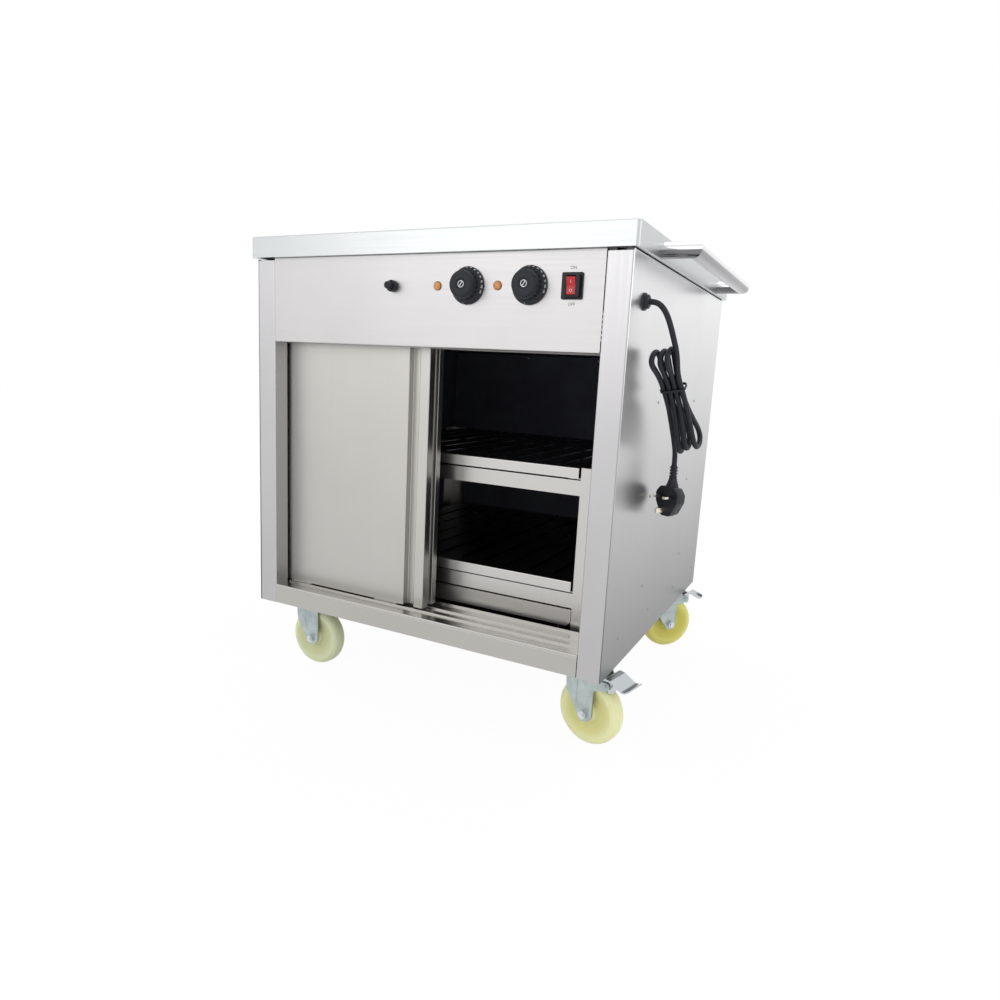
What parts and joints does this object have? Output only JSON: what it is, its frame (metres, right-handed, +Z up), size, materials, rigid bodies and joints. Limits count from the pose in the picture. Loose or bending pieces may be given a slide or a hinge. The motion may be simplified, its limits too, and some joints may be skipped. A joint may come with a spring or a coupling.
{
  "type": "heated hostess trolley",
  "caption": "Stainless steel heated trolley with sliding doors, shelves, dial controls, a push handle, braked swivel castors and a tied mains cord with plug",
  "frame": {"origin": "on the floor, under the middle of the outer box of everything but the mains cord", "axes": "+X along the front towards the push handle's end, +Y from the controls to the back, +Z up"},
  "size_m": [0.787, 0.692, 0.8165],
  "materials": {
    "brushed_stainless": "bright brushed stainless steel, grain along the long side",
    "polished_stainless": "polished stainless steel of the side panels and the worktop's edge",
    "inner_sheet": "mill-finish stainless sheet, dull grey",
    "rack_steel": "bright folded stainless angle and shelf",
    "dark_liner": "near-black matt cupboard lining",
    "polished_tube": "mirror-polished tube",
    "zinc_steel": "zinc-plated pressed steel, bluish",
    "bright_fastener": "bright plated bolts and axles",
    "cream_nylon": "cream-yellow nylon, slightly waxy",
    "white_nylon": "natural white nylon",
    "black_plastic": "black moulded plastic with a soft sheen",
    "red_rocker": "translucent red rocker",
    "amber_lens": "amber lens, low sheen",
    "heater_sheath": "oxidised dark heater sheath",
    "ceramic": null,
    "switch_housing": "dark heat-resistant moulding",
    "cord_sheath": "black flexible cord sheath",
    "brass_pin": "bright brass pins"
  },
  "bodies": {
    "frame": {"worktop": "polished_stainless", "front_posts": "brushed_stainless", "rear_posts": "brushed_stainless", "front_rail": "brushed_stainless", "rear_rail": "brushed_stainless", "bottom_track": "inner_sheet", "top_track": "inner_sheet", "base_pan": "inner_sheet", "control_panel": "brushed_stainless", "side_panel_left": "polished_stainless", "side_panel_right": "polished_stainless", "rear_panel": "brushed_stainless", "liner_back": "dark_liner", "liner_sides": "dark_liner", "liner_ceiling": "dark_liner", "shelf_rack": "rack_steel", "upper_shelf": "rack_steel", "lower_shelf": "rack_steel", "heater_cover": "rack_steel", "bottom_element": "heater_sheath", "top_element": "heater_sheath", "thermostat_top": "switch_housing", "thermostat_bottom": "switch_housing", "reset_cutout": "black_plastic", "neon_lamps": "amber_lens", "switch_body": "black_plastic", "terminal_block": "ceramic", "push_handle": "polished_tube", "handle_bolts": "bright_fastener", "castor_plates": "zinc_steel", "castor_bolts": "bright_fastener", "cord_gland": "black_plastic", "cord_lead": "cord_sheath", "cord_hank": "cord_sheath", "cord_tail": "cord_sheath", "cord_tie": "cord_sheath", "plug_body": "black_plastic", "plug_pins": "brass_pin"},
    "front_door": {"front_door": "brushed_stainless", "front_door_glides": "white_nylon"},
    "rear_door": {"rear_door": "brushed_stainless", "rear_door_glides": "white_nylon"},
    "knob_top": {"knob_top": "black_plastic"},
    "knob_bottom": {"knob_bottom": "black_plastic"},
    "reset_button": {"reset_button": "black_plastic"},
    "rocker": {"rocker": "red_rocker"},
    "castor_front_left": {"castor_fork_front_left": "zinc_steel", "castor_axle_front_left": "bright_fastener"},
    "wheel_front_left": {"castor_wheel_front_left": "cream_nylon"},
    "castor_front_right": {"castor_fork_front_right": "zinc_steel", "castor_axle_front_right": "bright_fastener"},
    "wheel_front_right": {"castor_wheel_front_right": "cream_nylon"},
    "brake_front_right": {"brake_pedal_front_right": "zinc_steel"},
    "castor_rear_left": {"castor_fork_rear_left": "zinc_steel", "castor_axle_rear_left": "bright_fastener"},
    "wheel_rear_left": {"castor_wheel_rear_left": "cream_nylon"},
    "castor_rear_right": {"castor_fork_rear_right": "zinc_steel", "castor_axle_rear_right": "bright_fastener"},
    "wheel_rear_right": {"castor_wheel_rear_right": "cream_nylon"},
    "brake_rear_right": {"brake_pedal_rear_right": "zinc_steel"}
  },
  "joints": [
    {"name": "front_door_slide", "type": "slide", "parent": "frame", "child": "front_door", "axis": [1, 0, 0], "range_m": [0, 0.33]},
    {"name": "rear_door_slide", "type": "slide", "parent": "frame", "child": "rear_door", "axis": [1, 0, 0], "range_m": [0, 0.33]},
    {"name": "knob_top_turn", "type": "hinge", "parent": "frame", "child": "knob_top", "pos_m": [0.05805, -0.322, 0.7305], "axis": [0, 1, 0], "range_deg": [0, 290]},
    {"name": "knob_bottom_turn", "type": "hinge", "parent": "frame", "child": "knob_bottom", "pos_m": [0.16355, -0.322, 0.7305], "axis": [0, 1, 0], "range_deg": [0, 290]},
    {"name": "reset_press", "type": "slide", "parent": "frame", "child": "reset_button", "axis": [0, 1, 0], "range_m": [0, 0.0025], "stiffness_N_per_m": 400},
    {"name": "rocker_tilt", "type": "hinge", "parent": "frame", "child": "rocker", "pos_m": [0.23115, -0.3252, 0.7291], "axis": [-1, 0, 0], "range_deg": [0, 14]},
    {"name": "swivel_front_left", "type": "hinge", "parent": "frame", "child": "castor_front_left", "pos_m": [-0.32425, -0.24, 0.1305], "axis": [0, 0, 1], "continuous": true},
    {"name": "roll_front_left", "type": "hinge", "parent": "castor_front_left", "child": "wheel_front_left", "pos_m": [-0.30325, -0.24, 0.057], "axis": [0, 1, 0], "continuous": true},
    {"name": "swivel_front_right", "type": "hinge", "parent": "frame", "child": "castor_front_right", "pos_m": [0.26375, -0.24, 0.1305], "axis": [0, 0, 1], "continuous": true},
    {"name": "roll_front_right", "type": "hinge", "parent": "castor_front_right", "child": "wheel_front_right", "pos_m": [0.28429, -0.24437, 0.057], "axis": [0.2079, 0.9781, 0], "continuous": true},
    {"name": "brake_front_right", "type": "hinge", "parent": "castor_front_right", "child": "brake_front_right", "pos_m": [0.31755, -0.25144, 0.1155], "axis": [0.2079, 0.9781, 0], "range_deg": [0, 12]},
    {"name": "swivel_rear_left", "type": "hinge", "parent": "frame", "child": "castor_rear_left", "pos_m": [-0.32425, 0.256, 0.1305], "axis": [0, 0, 1], "continuous": true},
    {"name": "roll_rear_left", "type": "hinge", "parent": "castor_rear_left", "child": "wheel_rear_left", "pos_m": [-0.30452, 0.26318, 0.057], "axis": [-0.342, 0.9397, 0], "continuous": true},
    {"name": "swivel_rear_right", "type": "hinge", "parent": "frame", "child": "castor_rear_right", "pos_m": [0.26375, 0.256, 0.1305], "axis": [0, 0, 1], "continuous": true},
    {"name": "roll_rear_right", "type": "hinge", "parent": "castor_rear_right", "child": "wheel_rear_right", "pos_m": [0.27936, 0.27005, 0.057], "axis": [-0.6691, 0.7431, 0], "continuous": true},
    {"name": "brake_rear_right", "type": "hinge", "parent": "castor_rear_right", "child": "brake_rear_right", "pos_m": [0.30462, 0.2928, 0.1155], "axis": [-0.6691, 0.7431, 0], "range_deg": [0, 12]}
  ]
}
